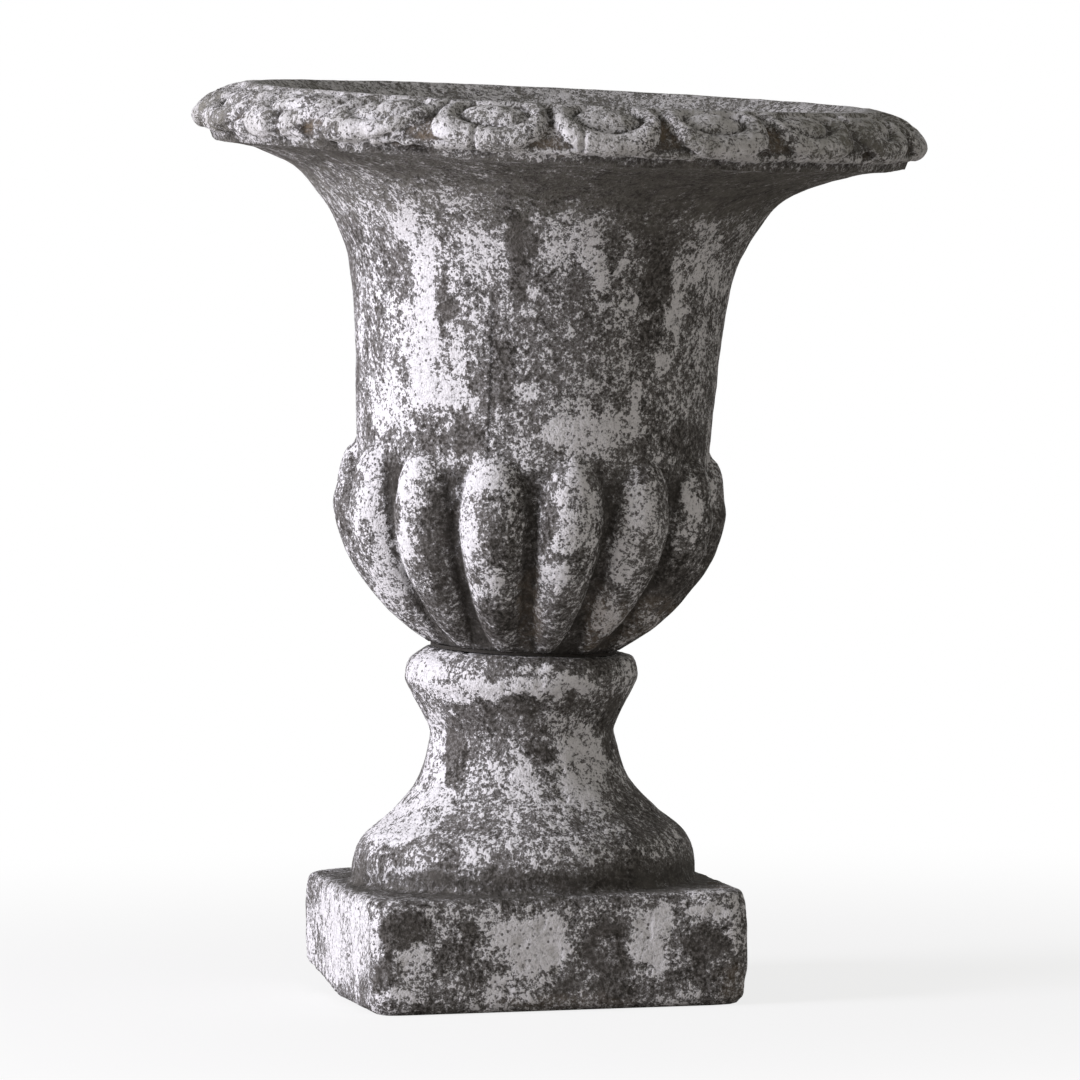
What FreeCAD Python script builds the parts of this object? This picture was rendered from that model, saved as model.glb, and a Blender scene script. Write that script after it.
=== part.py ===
import FreeCAD, Part
import math
import os

from FreeCAD import Vector

# A garden urn in cast stone: a bell-shaped bowl with a carved rim and a lobed belly, bedded on a
# waisted foot that is one casting with its square plinth. A rod down the drain bore ties the two
# castings together. Millimetres, +Z up, the plinth's front face towards -Y, and the origin at the
# middle of the plinth's underside.

# Plinth
plinth_side = 240.0
plinth_height = 72.0
plinth_corner_radius = 12.0
plinth_edge_radius = 6.0

# Foot: the radius at each station of its outline, and the rise to it from the station below
foot_base_radius = 108.0
foot_base_rise = 13.0
foot_shoulder_radius = 101.5
foot_shoulder_rise = 16.5
foot_haunch_radius = 84.0
foot_haunch_rise = 15.0
foot_skirt_radius = 66.0
foot_skirt_rise = 21.5
foot_neck_radius = 57.5
foot_neck_rise = 28.0
foot_collar_radius = 64.5
foot_collar_rise = 15.0
foot_ring_radius = 73.7
foot_ring_rise = 18.0
foot_bed_radius = 64.5
foot_bed_rise = 18.0

# Bed between foot and bowl. The foot's top isn't level, so the bowl leans.
bed_thickness = 2.0
bed_setback = 6.0
bowl_lean = 3.4
bowl_lean_heading = -11.5
bowl_shift = 1.5

# Bowl: smooth body under the lobes, then the bell and the flare under the rim
bowl_underside_radius = 59.0
bowl_belly_low_radius = 84.0
bowl_belly_low_rise = 32.0
bowl_belly_mid_radius = 103.0
bowl_belly_mid_rise = 30.0
bowl_belly_high_radius = 109.5
bowl_belly_high_rise = 30.0
bowl_waist_radius = 111.5
bowl_waist_rise = 42.0
bowl_bell_low_radius = 114.5
bowl_bell_low_rise = 56.0
bowl_bell_high_radius = 122.5
bowl_bell_high_rise = 52.0
bowl_flare_low_radius = 138.5
bowl_flare_low_rise = 32.0
bowl_flare_mid_radius = 158.0
bowl_flare_mid_rise = 19.0
bowl_flare_high_radius = 188.0
bowl_flare_high_rise = 12.5
bowl_soffit_radius = 206.0
bowl_soffit_rise = 4.0

# Rim moulding, from its lower edge up to the lip. It was cast a little off the bowl's axis.
rim_offset = 7.5
rim_lower_edge_radius = 221.0
rim_lower_edge_rise = 1.5
rim_nose_radius = 231.2
rim_nose_rise = 13.5
rim_brow_radius = 225.5
rim_brow_rise = 9.5
rim_slope_radius = 214.0
rim_slope_rise = 8.0
lip_outer_radius = 198.0
lip_rise = 4.5
lip_width = 8.0

# Hollow of the bowl: the floor and the cove round it, the wall's thickness at each station, and how
# much of the rim's offset the hollow has taken up at the bell, at the flare and below the lip
floor_thickness = 32.0
floor_radius = 50.0
cove_width = 14.2
cove_rise = 8.5
belly_wall = 17.0
waist_wall = 19.0
bell_wall = 17.5
flare_wall = 21.0
flare_wall_rise = 7.0
bell_offset_share = 0.1
flare_offset_share = 0.6
brink_offset_share = 0.9
mouth_overshoot = 2.0
mouth_spread = 4.0

# Lobes round the belly
lobe_count = 14
lobe_turn = 0.01
lobe_foot_radius = 12.0
lobe_low_radius = 16.8
lobe_mid_radius = 21.3
lobe_high_radius = 25.3
lobe_crest_radius = 28.5
lobe_head_radius = 25.0
lobe_foot_reach = 52.0
lobe_low_reach = 82.5
lobe_mid_reach = 100.0
lobe_high_reach = 115.5
lobe_crest_reach = 123.5
lobe_head_reach = 121.0
lobe_foot_drop = 5.5
lobe_low_height = 15.8
lobe_mid_height = 34.0
lobe_high_height = 57.0
lobe_crest_height = 85.0
lobe_head_height = 99.0

# Carving of the rim: eggs in dished pockets, with a round hollow between each two
egg_count = 19
egg_turn = -25.7
egg_half_length = 25.0
egg_girth_radius = 13.0
egg_sink = 8.5
pocket_half_length = 48.0
pocket_girth_radius = 31.4
pocket_depth = 5.0
dart_radius = 11.0
dart_depth = 6.0

# Drain bore and the hardware in it
drain_radius = 16.0
foot_recess_radius = 27.0
foot_recess_depth = 24.0
rod_diameter = 12.0
rod_overhang = 3.0
rod_chamfer = 1.2
nut_across_flats = 19.0
nut_height = 10.0
washer_diameter = 24.0
washer_thickness = 2.5
strap_length = 50.0
strap_width = 20.0
strap_thickness = 5.0
bolt_clearance = 0.75
thread_gap = 0.1

UP = Vector(0, 0, 1)
ORIGIN = Vector(0, 0, 0)
CUT_ROOM = 10.0
DEEP_CUT = 30.0

bowl_lean_direction = Vector(
    math.cos(math.radians(bowl_lean_heading)), math.sin(math.radians(bowl_lean_heading)), 0)
rod_radius = rod_diameter / 2


def climb(start, steps):
    """Points (radius, height) of an outline from its radii and rises, the first at height start."""
    height = start
    points = []
    for radius, rise in steps:
        height += rise
        points.append(Vector(radius, 0, height))
    return points


def smooth(points, start_direction, end_direction):
    """A smooth edge through points, with its directions at both ends."""
    curve = Part.BSplineCurve()
    curve.interpolate(Points=points, InitialTangent=start_direction, FinalTangent=end_direction)
    return curve.toShape()


def straight(*points):
    """Straight edges from point to point."""
    return [Part.makeLine(a, b) for a, b in zip(points, points[1:])]


def turned(edges):
    """The solid that a closed outline sweeps round the Z axis."""
    face = Part.Face(Part.Wire(edges))
    return face.revolve(ORIGIN, UP, 360)


def between(point, other):
    """The direction from one point to another."""
    return (other - point).normalize()


def on_bowl(shape):
    """A copy of a shape moved from the bowl's own frame, bed plane at zero, to its leaning place."""
    placed = shape.copy()
    placed.rotate(ORIGIN, UP, bowl_lean_heading)
    placed.rotate(ORIGIN, UP.cross(bowl_lean_direction), bowl_lean)
    placed.translate(bowl_lean_direction * bowl_shift + UP * foot_top)
    return placed


def off_centre(shape):
    """A copy of a shape moved from the rim's own axis to its place beside the bowl's axis."""
    moved = shape.copy()
    moved.translate(Vector(rim_offset, 0, 0))
    return moved


# Outlines

foot_stations = climb(plinth_height, [
    (foot_base_radius, foot_base_rise),
    (foot_shoulder_radius, foot_shoulder_rise),
    (foot_haunch_radius, foot_haunch_rise),
    (foot_skirt_radius, foot_skirt_rise),
    (foot_neck_radius, foot_neck_rise),
    (foot_collar_radius, foot_collar_rise),
    (foot_ring_radius, foot_ring_rise),
    (foot_bed_radius, foot_bed_rise)])
foot_top = foot_stations[-1].z

bowl_stations = climb(bed_thickness, [
    (bowl_underside_radius, 0),
    (bowl_belly_low_radius, bowl_belly_low_rise),
    (bowl_belly_mid_radius, bowl_belly_mid_rise),
    (bowl_belly_high_radius, bowl_belly_high_rise),
    (bowl_waist_radius, bowl_waist_rise),
    (bowl_bell_low_radius, bowl_bell_low_rise),
    (bowl_bell_high_radius, bowl_bell_high_rise),
    (bowl_flare_low_radius, bowl_flare_low_rise),
    (bowl_flare_mid_radius, bowl_flare_mid_rise),
    (bowl_flare_high_radius, bowl_flare_high_rise),
    (bowl_soffit_radius, bowl_soffit_rise)])
soffit_height = bowl_stations[-1].z

rim_stations = climb(soffit_height, [
    (rim_lower_edge_radius, rim_lower_edge_rise),
    (rim_nose_radius, rim_nose_rise),
    (rim_brow_radius, rim_brow_rise),
    (rim_slope_radius, rim_slope_rise),
    (lip_outer_radius, lip_rise)])
lip_height = rim_stations[-1].z
lip_inner_radius = lip_outer_radius - lip_width
floor_height = bed_thickness + floor_thickness


def foot_profile():
    """The foot's outline from the plinth up, carried on past its sloping top."""
    base, neck, ring, top = foot_stations[0], foot_stations[4], foot_stations[6], foot_stations[7]
    collar = foot_stations[5]
    over = top + between(ring, top) * CUT_ROOM
    skirt = smooth(foot_stations[0:5], UP, UP)
    scotia = smooth([neck, collar, ring], UP, UP)
    torus = smooth([ring, top, over], UP, between(ring, top) + between(top, over))
    root = Vector(base.x, 0, 0) + UP * (plinth_height - plinth_edge_radius)
    return (straight(Vector(0, 0, over.z), Vector(0, 0, root.z), root, base)
            + [skirt, scotia, torus] + straight(over, Vector(0, 0, over.z)))


def plinth():
    """The square plinth, its corners and edges worn round."""
    half = plinth_side / 2
    block = Part.makeBox(plinth_side, plinth_side, plinth_height, Vector(-half, -half, 0))
    upright = [e for e in block.Edges if e.BoundBox.ZLength > plinth_edge_radius]
    block = block.makeFillet(plinth_corner_radius, upright)
    level = [e for e in block.Edges if e.BoundBox.ZLength < plinth_edge_radius]
    return block.makeFillet(plinth_edge_radius, level)


def pedestal_foot():
    """Foot and plinth in one casting, with its sloping top, drain bore and the recess below."""
    casting = plinth().fuse(turned(foot_profile()))
    above = on_bowl(Part.makeCylinder(foot_base_radius, DEEP_CUT))
    bore = Part.makeCylinder(drain_radius, foot_top + 2 * CUT_ROOM, Vector(0, 0, -CUT_ROOM))
    recess = Part.makeCylinder(
        foot_recess_radius, foot_recess_depth + CUT_ROOM, Vector(0, 0, -CUT_ROOM))
    return casting.cut([above, bore, recess]).removeSplitter()


def bed_joint():
    """The thin ring of mortar under the bowl, set back from the face of the joint."""
    disc = Part.makeCylinder(foot_bed_radius - bed_setback, bed_thickness)
    hole = Part.makeCylinder(drain_radius + bed_setback, bed_thickness)
    return on_bowl(disc.cut(hole))


def bowl_body():
    """The bowl's smooth outside from its bed to the soffit under the rim, filled."""
    belly = smooth(bowl_stations[0:5], between(bowl_stations[0], bowl_stations[1]), UP)
    bell = smooth(bowl_stations[4:], UP, between(bowl_stations[-2], bowl_stations[-1]))
    soffit = bowl_stations[-1]
    cap = Vector(soffit.x, 0, lip_height - CUT_ROOM)
    axis_low = Vector(0, 0, bed_thickness)
    axis_high = Vector(0, 0, cap.z)
    return turned([belly, bell] + straight(soffit, cap, axis_high, axis_low, bowl_stations[0]))


def rim_ring():
    """The rim's moulding before it is carved, round its own axis."""
    low, nose, brow, slope, lip = rim_stations
    under = smooth([low, nose], Vector(1, 0, 1), UP)
    over = smooth([nose, brow, slope, lip], UP, between(slope, lip))
    inner_top = Vector(lip_inner_radius - CUT_ROOM, 0, lip_height)
    inner_low = Vector(inner_top.x, 0, soffit_height + rim_lower_edge_rise)
    return turned([under, over] + straight(lip, inner_top, inner_low, low))


def hollow():
    """The space inside the bowl, skinned over rings that shift from its axis to the rim's."""
    belly, waist = bowl_stations[3], bowl_stations[4]
    bell, flare = bowl_stations[6], bowl_stations[8]
    brink_radius = (flare.x + lip_inner_radius - lip_width) / 2
    brink_height = lip_height - lip_rise - rim_slope_rise
    rings = [
        (floor_radius, floor_height, 0),
        (belly.x - belly_wall - cove_width, floor_height + cove_rise, 0),
        (belly.x - belly_wall, belly.z, 0),
        (waist.x - waist_wall, waist.z, 0),
        (bell.x - bell_wall, bell.z - bell_wall, bell_offset_share),
        (flare.x - flare_wall, flare.z + flare_wall_rise, flare_offset_share),
        (brink_radius, brink_height, brink_offset_share),
        (lip_inner_radius, lip_height, 1),
        (lip_inner_radius + mouth_spread, lip_height + mouth_overshoot, 1)]
    wires = [
        Part.Wire(Part.makeCircle(radius, Vector(rim_offset * share, 0, height)))
        for radius, height, share in rings]
    return Part.makeLoft(wires, True, False)


def lobe():
    """One lobe of the belly: a tapering horn, round at its head, under the +X side of the bell."""
    crests = [Vector(reach, 0, bed_thickness + height) for reach, height in [
        (lobe_foot_reach, -lobe_foot_drop),
        (lobe_low_reach, lobe_low_height),
        (lobe_mid_reach, lobe_mid_height),
        (lobe_high_reach, lobe_high_height),
        (lobe_crest_reach, lobe_crest_height),
        (lobe_head_reach, lobe_head_height)]]
    radii = [lobe_foot_radius, lobe_low_radius, lobe_mid_radius, lobe_high_radius,
             lobe_crest_radius, lobe_head_radius]
    runs = [between(a, b) for a, b in zip(crests, crests[1:-1])]
    along = [runs[0]] + [(a + b).normalize() for a, b in zip(runs, runs[1:])] + [UP, UP]
    rings = []
    for crest, direction, radius in zip(crests, along, radii):
        inward = Vector(-direction.z, 0, direction.x)
        rings.append(Part.Wire(Part.makeCircle(radius, crest + inward * radius, direction)))
    head = Part.makeSphere(lobe_head_radius, crests[-1] - Vector(lobe_head_radius, 0, 0))
    return Part.makeLoft(rings, True, False).fuse(head)


def oval(half_length, girth_radius):
    """A solid oval, round about its long axis, which lies along Y."""
    ellipse = Part.Ellipse(ORIGIN, half_length, girth_radius)
    arc = Part.ArcOfEllipse(ellipse, 0, math.pi).toShape()
    ends = straight(Vector(-half_length, 0, 0), Vector(half_length, 0, 0))
    solid = Part.Face(Part.Wire([arc] + ends)).revolve(ORIGIN, Vector(1, 0, 0), 360)
    solid.rotate(ORIGIN, UP, 90)
    return solid


def on_rim(shape, low, high, sink, angle):
    """A copy of a shape set on the moulding midway between two stations, sunk and turned round."""
    slope = between(low, high)
    outward = Vector(slope.z, 0, -slope.x)
    placed = shape.copy()
    placed.translate((low + high) / 2 - outward * sink)
    placed.rotate(ORIGIN, UP, angle)
    return placed


def carved_rim():
    """The moulding with its eggs, their pockets and the hollows between them."""
    nose, brow, lip = rim_stations[1], rim_stations[2], rim_stations[4]
    pocket = oval(pocket_half_length, pocket_girth_radius)
    egg = oval(egg_half_length, egg_girth_radius)
    dart = Part.makeSphere(dart_radius)
    pitch = 360 / egg_count
    cuts, eggs = [], []
    for number in range(egg_count):
        angle = egg_turn + pitch * number
        cuts.append(on_rim(pocket, brow, lip, pocket_depth - pocket_girth_radius, angle))
        cuts.append(on_rim(dart, nose, brow, dart_depth - dart_radius, angle + pitch / 2))
        eggs.append(on_rim(egg, brow, lip, egg_sink, angle))
    return rim_ring().cut(cuts).fuse(eggs)


def urn_bowl():
    """The bowl in one casting: lobed belly, bell, carved rim, hollow and drain hole."""
    first = lobe()
    lobes = []
    for number in range(lobe_count):
        copy = first.copy()
        copy.rotate(ORIGIN, UP, 360 / lobe_count * (number + lobe_turn))
        lobes.append(copy)
    casting = bowl_body().fuse(lobes).fuse(off_centre(carved_rim()))
    below = Part.makeCylinder(
        lobe_crest_reach, DEEP_CUT, Vector(0, 0, bed_thickness - DEEP_CUT))
    drain = Part.makeCylinder(drain_radius, floor_height + CUT_ROOM)
    return on_bowl(casting.cut([below, hollow(), drain]).removeSplitter())


def hexagon_nut(level):
    """A hexagon nut on the rod, its lower face at the given height and its corners chamfered."""
    inner = nut_across_flats / 2
    corner = nut_across_flats / math.sqrt(3)
    turns = [math.radians(60 * number) for number in range(6)]
    points = [Vector(corner * math.cos(turn), corner * math.sin(turn), level) for turn in turns]
    blank = Part.Face(Part.makePolygon(points + points[:1])).extrude(UP * nut_height)
    wide = inner + nut_height * math.sqrt(3)
    lower = Part.makeCone(inner, wide, nut_height, Vector(0, 0, level))
    upper = Part.makeCone(wide, inner, nut_height, Vector(0, 0, level))
    hole = Part.makeCylinder(rod_radius + thread_gap, nut_height, Vector(0, 0, level))
    return blank.common(lower).common(upper).cut(hole)


def washer(level):
    """A round washer on the rod, its lower face at the given height."""
    disc = Part.makeCylinder(washer_diameter / 2, washer_thickness, Vector(0, 0, level))
    hole = Part.makeCylinder(rod_radius + bolt_clearance, washer_thickness, Vector(0, 0, level))
    return disc.cut(hole)


def strap(low, high):
    """A round-ended bar across the bore, with a hole for the rod, from one height to another."""
    half = (strap_length - strap_width) / 2
    height = high - low
    bar = Part.makeBox(2 * half, strap_width, height, Vector(-half, -strap_width / 2, low))
    ends = [Part.makeCylinder(strap_width / 2, height, Vector(x, 0, low)) for x in (-half, half)]
    hole = Part.makeCylinder(rod_radius + bolt_clearance, height, Vector(0, 0, low))
    return bar.fuse(ends).cut(hole).removeSplitter()


def foot_strap():
    """The strap against the roof of the recess under the plinth."""
    return strap(foot_recess_depth - strap_thickness, foot_recess_depth)


def bowl_strap():
    """The strap on the bowl's floor, its underside cut to the lean so that the nut sits square."""
    floor = on_bowl(Part.makeCylinder(floor_radius, floor_height))
    bar = strap(bowl_strap_top - DEEP_CUT, bowl_strap_top)
    bar.rotate(ORIGIN, UP, bowl_lean_heading)
    return bar.cut(floor)


def tie_rod():
    """The rod from under the lower nut to above the upper one, its ends chamfered."""
    low = foot_nut_level - rod_overhang
    high = bowl_strap_top + washer_thickness + nut_height + rod_overhang
    rod = Part.makeCylinder(rod_radius, high - low, Vector(0, 0, low))
    rims = [e for e in rod.Edges if e.BoundBox.ZLength < rod_chamfer]
    return rod.makeChamfer(rod_chamfer, rims)


lean = math.radians(bowl_lean)
bowl_strap_top = (foot_top + floor_height / math.cos(lean) + strap_thickness
                  + (strap_length / 2 + bowl_shift) * math.tan(lean))
foot_washer_level = foot_recess_depth - strap_thickness - washer_thickness
foot_nut_level = foot_washer_level - nut_height

nodes = {
    "pedestal_foot": pedestal_foot(),
    "bed_joint": bed_joint(),
    "urn_bowl": urn_bowl(),
    "tie_rod": tie_rod(),
    "bowl_strap": bowl_strap(),
    "bowl_washer": washer(bowl_strap_top),
    "bowl_nut": hexagon_nut(bowl_strap_top + washer_thickness),
    "foot_strap": foot_strap(),
    "foot_washer": washer(foot_washer_level),
    "foot_nut": hexagon_nut(foot_nut_level),
}

os.makedirs("parts", exist_ok=True)
for name, shape in nodes.items():
    shape.exportStep("parts/" + name + ".step")
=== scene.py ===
import math

import bmesh
import bpy
from bpy.props import (
    FloatProperty, FloatVectorProperty, IntProperty, PointerProperty)
from mathutils import Matrix, Vector, geometry, noise


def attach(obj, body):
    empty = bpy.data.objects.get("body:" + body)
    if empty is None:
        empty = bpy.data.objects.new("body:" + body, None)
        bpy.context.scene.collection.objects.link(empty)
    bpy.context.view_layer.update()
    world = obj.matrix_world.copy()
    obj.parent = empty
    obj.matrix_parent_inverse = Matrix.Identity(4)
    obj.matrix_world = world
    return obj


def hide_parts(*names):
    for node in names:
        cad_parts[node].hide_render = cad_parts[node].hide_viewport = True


bl_info = {
    "name": "Weathered Garden Urn",
    "version": (1, 0, 0),
    "blender": (4, 5, 0),
    "location": "3D View > Sidebar > Urn",
    "description": "Builds a bell-shaped cast-stone urn with a carved rim and worn limewash",
    "category": "Object",
}

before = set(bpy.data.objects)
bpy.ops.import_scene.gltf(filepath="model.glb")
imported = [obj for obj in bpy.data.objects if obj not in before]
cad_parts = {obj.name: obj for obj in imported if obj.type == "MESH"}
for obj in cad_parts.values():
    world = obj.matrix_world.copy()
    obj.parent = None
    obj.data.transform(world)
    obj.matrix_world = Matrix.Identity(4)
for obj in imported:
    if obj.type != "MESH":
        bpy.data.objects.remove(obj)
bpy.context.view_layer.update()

# Places and directions. Everything is in metres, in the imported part's own frame.
UP = Vector((0, 0, 1))
PHOTO_SIDE = 1080
SENSOR = 36.0
ROOT = "root"

# Radius and height of each station of the foot's outline, from the plinth up
FOOT_SKIRT = [
    (0.108, 0.066), (0.108, 0.085), (0.1015, 0.1015), (0.084, 0.1165), (0.066, 0.138),
    (0.0575, 0.166)]
FOOT_SCOTIA = [(0.0575, 0.166), (0.0645, 0.181), (0.0737, 0.199)]
FOOT_TORUS = [(0.0737, 0.199), (0.0718, 0.2105), (0.0645, 0.217), (0.0555, 0.2225)]

# The bowl's outline in its own upright frame, from its bed, and the rim round its own axis
BOWL_OUTSIDE = [
    (0.059, 0.002), (0.084, 0.034), (0.103, 0.064), (0.1095, 0.094), (0.1115, 0.136),
    (0.1145, 0.192), (0.1225, 0.244), (0.1385, 0.276), (0.158, 0.295), (0.188, 0.3075),
    (0.206, 0.3115), (0.221, 0.313)]
BOWL_MOULDING = [
    (0.221, 0.313), (0.2278, 0.3178), (0.2312, 0.3265), (0.2255, 0.336), (0.214, 0.344),
    (0.198, 0.3485)]
BOWL_LIP = [(0.198, 0.3485), (0.190, 0.3485)]
BOWL_HOLLOW = [
    (0.190, 0.3485), (0.170, 0.336), (0.137, 0.302), (0.105, 0.2265), (0.0925, 0.136),
    (0.0925, 0.094), (0.0783, 0.0425), (0.050, 0.034)]
RIM_BEGINS, RIM_ENDS = 0.285, 0.312

# Crest of a lobe: reach from the bowl's axis, radius of the lobe's round, and height
LOBE_CREST = [
    (0.052, 0.0120, -0.0035), (0.0825, 0.0171, 0.0178), (0.100, 0.0217, 0.036),
    (0.1155, 0.0257, 0.059), (0.1235, 0.0287, 0.086), (0.1215, 0.0280, 0.102)]
LOBE_HEAD = 0.024
LOBE_BLEND = 0.0016


def length(label, about, metres):
    """A length that a user can change."""
    return FloatProperty(name=label, description=about, default=metres, unit="LENGTH")


def angle(label, about, degrees):
    """An angle that a user can change."""
    return FloatProperty(
        name=label, description=about, default=math.radians(degrees), unit="ROTATION")


def colour(label, about, value):
    """A colour that a user can change."""
    return FloatVectorProperty(name=label, description=about, default=value, subtype="COLOR")


class UrnSizes(bpy.types.PropertyGroup):
    """Sizes of the urn that a user would change."""

    plinth_side: length("Plinth side", "Width of the square plinth", 0.240)
    plinth_height: length("Plinth height", "Height of the square plinth", 0.072)
    plinth_corner: length("Plinth corner", "Radius of the plinth's upright corners", 0.013)
    plinth_edge: length("Plinth edge", "Radius of the plinth's level edges", 0.006)
    foot_top: length("Foot top", "Height of the foot at its axis", 0.217)
    bowl_lean: angle("Bowl lean", "How far the bowl leans from upright", 3.4)
    bowl_heading: angle("Bowl heading", "The direction that the bowl leans towards", -11.5)
    bowl_shift: length("Bowl shift", "How far the bowl stands off the foot's axis", 0.0015)
    rim_offset: length("Rim offset", "How far the rim was cast off the bowl's axis", 0.0075)
    drain_radius: length("Drain radius", "Radius of the bore through bowl and foot", 0.016)
    recess_radius: length("Recess radius", "Radius of the recess under the plinth", 0.027)
    recess_depth: length("Recess depth", "Depth of the recess under the plinth", 0.024)
    lobe_count: IntProperty(
        name="Lobes", description="Number of lobes round the belly", default=14)
    lobe_turn: FloatProperty(
        name="Lobe turn", description="Where the lobes start, as a share of their pitch",
        default=0.01)
    egg_count: IntProperty(
        name="Eggs", description="Number of carved eggs round the rim", default=19)
    egg_turn: angle("Egg turn", "Where the eggs start", -25.7)
    columns: IntProperty(
        name="Columns", description="Columns of faces round the bowl", default=448)
    foot_grain: length("Foot grain", "Size of a face of the foot", 0.0022)


class UrnFinish(bpy.types.PropertyGroup):
    """Colours of the urn that a user would change."""

    stone_deep: colour("Deep stone", "Stone where it is darkest", (0.030, 0.027, 0.023))
    stone: colour("Stone", "Bare weathered stone", (0.118, 0.109, 0.100))
    haze: colour("Thin wash", "Stone under a thin film of limewash", (0.285, 0.276, 0.270))
    limewash: colour("Limewash", "Limewash where it is whole", (0.83, 0.82, 0.83))
    ochre: colour("Ochre", "Rusty stain in the carving", (0.33, 0.255, 0.175))
    lichen: colour("Lichen", "Olive growth along the rim", (0.270, 0.262, 0.225))
    steel: colour("Steel", "Dull galvanised steel", (0.46, 0.47, 0.47))
    rust: colour("Rust", "Rust on the steel", (0.19, 0.075, 0.028))
    mortar: colour("Mortar", "Weathered mortar of the bed", (0.050, 0.046, 0.042))


class UrnStage(bpy.types.PropertyGroup):
    """Where the camera stands and how strong the lamps are."""

    azimuth: angle("Azimuth", "The camera's turn round the urn", -11.733)
    elevation: angle("Elevation", "The camera's angle above the horizon", 3.608)
    distance: length("Distance", "From the camera to its target", 7.530)
    target_height: length("Target height", "Height of the camera's target", 0.290)
    roll: angle("Roll", "The camera's tilt to one side", -0.716)
    lens: FloatProperty(
        name="Lens", description="Focal length in millimetres", default=399.6)
    shift: FloatVectorProperty(
        name="Shift", description="The frame's shift as a share of its width", size=2,
        default=(0.01895, -0.00643))
    key_power: FloatProperty(
        name="Key lamp", description="Power of the large lamp at the left, in watts",
        default=106.0)
    fill_power: FloatProperty(
        name="Fill lamp", description="Power of the weak lamp at the right, in watts",
        default=9.0)
    sky: FloatProperty(
        name="Sky", description="Strength of the light from all round", default=0.20)


# Shapes


def smooth_run(stations, spacing):
    """Points about spacing apart on a smooth curve through (radius, 0, height) stations."""
    knots = [Vector((row[0], 0, row[1]) if len(row) == 2 else row) for row in stations]
    ends = [2 * knots[0] - knots[1]], [2 * knots[-1] - knots[-2]]
    padded = ends[0] + knots + ends[1]
    points = []
    for before, start, end, after in zip(padded, padded[1:], padded[2:], padded[3:]):
        span = (end - start).length
        leave = start + (end - before).normalized() * span / 3
        arrive = end - (after - start).normalized() * span / 3
        count = max(2, round(span / spacing) + 1)
        points += geometry.interpolate_bezier(start, leave, arrive, end, count)[:-1]
    return points + [knots[-1]]


def new_object(name, mesh):
    """An object in the scene that shows the mesh, at the origin, unturned and unscaled."""
    thing = bpy.data.objects.new(name, mesh)
    bpy.context.scene.collection.objects.link(thing)
    return thing


def finish_mesh(name, bm):
    """The bmesh as a smooth-shaded mesh with its faces turned outwards."""
    bmesh.ops.recalc_face_normals(bm, faces=bm.faces)
    mesh = bpy.data.meshes.new(name)
    bm.to_mesh(mesh)
    bm.free()
    mesh.shade_smooth()
    return mesh


def ease(low, high, value):
    """0 up to low, 1 from high, and smooth between."""
    share = min(1.0, max(0.0, (value - low) / (high - low)))
    return share * share * (3 - 2 * share)


def lumps(point, size, octaves=3):
    """Noise from about -1 to 1 whose lumps are about size across."""
    return noise.fractal(point / size, 1.0, 2.0, octaves)


def nearest_turn(turn, start, count):
    """How far round, in radians, an angle lies from the nearest of count even places."""
    pitch = math.tau / count
    return (turn - start + pitch / 2) % pitch - pitch / 2


def on_track(track, height):
    """Reading at a height of a track of (value, value, height) points."""
    height = min(track[-1].z, max(track[0].z, height))
    after = next(number for number, point in enumerate(track) if point.z >= height)
    low, high = track[max(after - 1, 0)], track[after]
    return low.lerp(high, (height - low.z) / max(high.z - low.z, 1e-6))


# The photograph's view


def camera_matrix(stage):
    """The camera's place and direction."""
    around, above = stage.azimuth, stage.elevation
    back = Vector((
        math.sin(around) * math.cos(above), -math.cos(around) * math.cos(above),
        math.sin(above)))
    place = UP * stage.target_height + back * stage.distance
    turn = (-back).to_track_quat("-Z", "Y").to_matrix().to_4x4()
    return Matrix.Translation(place) @ turn @ Matrix.Rotation(stage.roll, 4, "Z")


class PhotoView:
    """Where a point of the urn shows in the photograph, and whether it faces the camera."""

    def __init__(self, stage):
        self.matrix = camera_matrix(stage)
        self.inverse = self.matrix.inverted()
        self.eye = self.matrix.translation
        self.focal = stage.lens / SENSOR * PHOTO_SIDE
        self.shift = Vector((stage.shift[0], -stage.shift[1])) * PHOTO_SIDE

    def pixel(self, point):
        """The point's place in the photograph, in pixels from its top left."""
        seen = self.inverse @ point
        across = PHOTO_SIDE / 2 - self.focal * seen.x / seen.z - self.shift.x
        down = PHOTO_SIDE / 2 + self.focal * seen.y / seen.z - self.shift.y
        return across, down

    def facing(self, point, normal):
        """1 where the surface faces the camera, 0 from side-on to behind."""
        return ease(0.03, 0.25, normal.dot((self.eye - point).normalized()))


# Patches of the finish, placed one by one: the middle of each in the photograph's pixels, its half
# width and half height in the same, and how much limewash it adds or takes away.

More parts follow.
